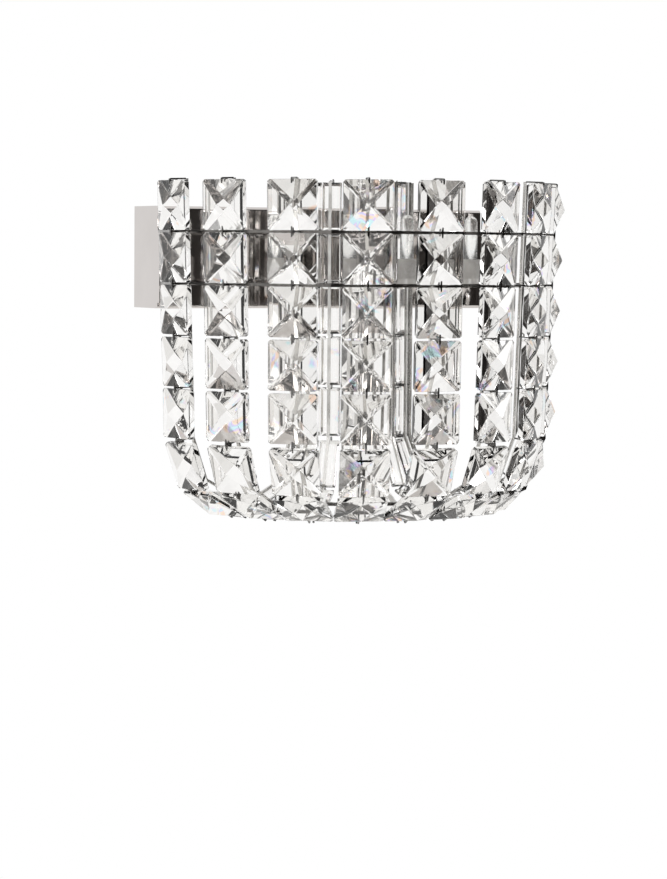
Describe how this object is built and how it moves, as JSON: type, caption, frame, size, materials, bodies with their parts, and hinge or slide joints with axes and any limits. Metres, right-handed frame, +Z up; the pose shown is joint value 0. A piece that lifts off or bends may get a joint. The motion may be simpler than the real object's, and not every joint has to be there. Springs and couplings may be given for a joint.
{
  "type": "crystal wall sconce",
  "caption": "Wall light with a half basket of clear square crystals strung in curved strands in front of a polished nickel wall box.",
  "frame": {"origin": "on the wall plane, midway between the two wall bolts at the middle of the wall box", "axes": "+Z up, +Y into the wall, -Y out into the room, +X along the wall to the right as seen from the room"},
  "size_m": [0.358, 0.2798, 0.2786],
  "materials": {
    "nickel": "polished nickel plate",
    "steel": "zinc-plated steel",
    "brass": "plain brass",
    "terminal_plastic": "moulded, satin",
    "holder_ceramic": "grey, glazed",
    "bulb_glass": "frosted glass",
    "crystal": "clear, cut and polished",
    "slim_crystal": "clear, bevelled and polished",
    "clip_wire": "dark nickel wire"
  },
  "bodies": {
    "root": {"wall_box": "nickel", "end_post_left": "nickel", "end_post_right": "nickel", "upper_ring": "nickel", "lower_ring": "nickel", "inner_ring": "nickel", "bottom_ring": "nickel", "lamp_rail": "nickel", "box_screws": "nickel", "wall_bracket": "steel", "terminal_screws": "brass", "terminal_block": "terminal_plastic", "lamp_holders": "holder_ceramic", "bulbs": "bulb_glass", "strap_1": "nickel", "clips_1": "clip_wire", "crystals_1": "crystal", "slim_crystals_1": "slim_crystal", "strap_2": "nickel", "clips_2": "clip_wire", "crystals_2": "crystal", "slim_crystals_2": "slim_crystal", "strap_3": "nickel", "clips_3": "clip_wire", "crystals_3": "crystal", "slim_crystals_3": "slim_crystal", "strap_4": "nickel", "clips_4": "clip_wire", "crystals_4": "crystal", "slim_crystals_4": "slim_crystal", "strap_5": "nickel", "clips_5": "clip_wire", "crystals_5": "crystal", "slim_crystals_5": "slim_crystal", "strap_6": "nickel", "clips_6": "clip_wire", "crystals_6": "crystal", "slim_crystals_6": "slim_crystal", "strap_7": "nickel", "clips_7": "clip_wire", "crystals_7": "crystal", "slim_crystals_7": "slim_crystal", "strap_8": "nickel", "clips_8": "clip_wire", "crystals_8": "crystal", "slim_crystals_8": "slim_crystal", "strap_9": "nickel", "clips_9": "clip_wire", "crystals_9": "crystal", "slim_crystals_9": "slim_crystal", "slim_clips": "clip_wire"}
  },
  "joints": []
}
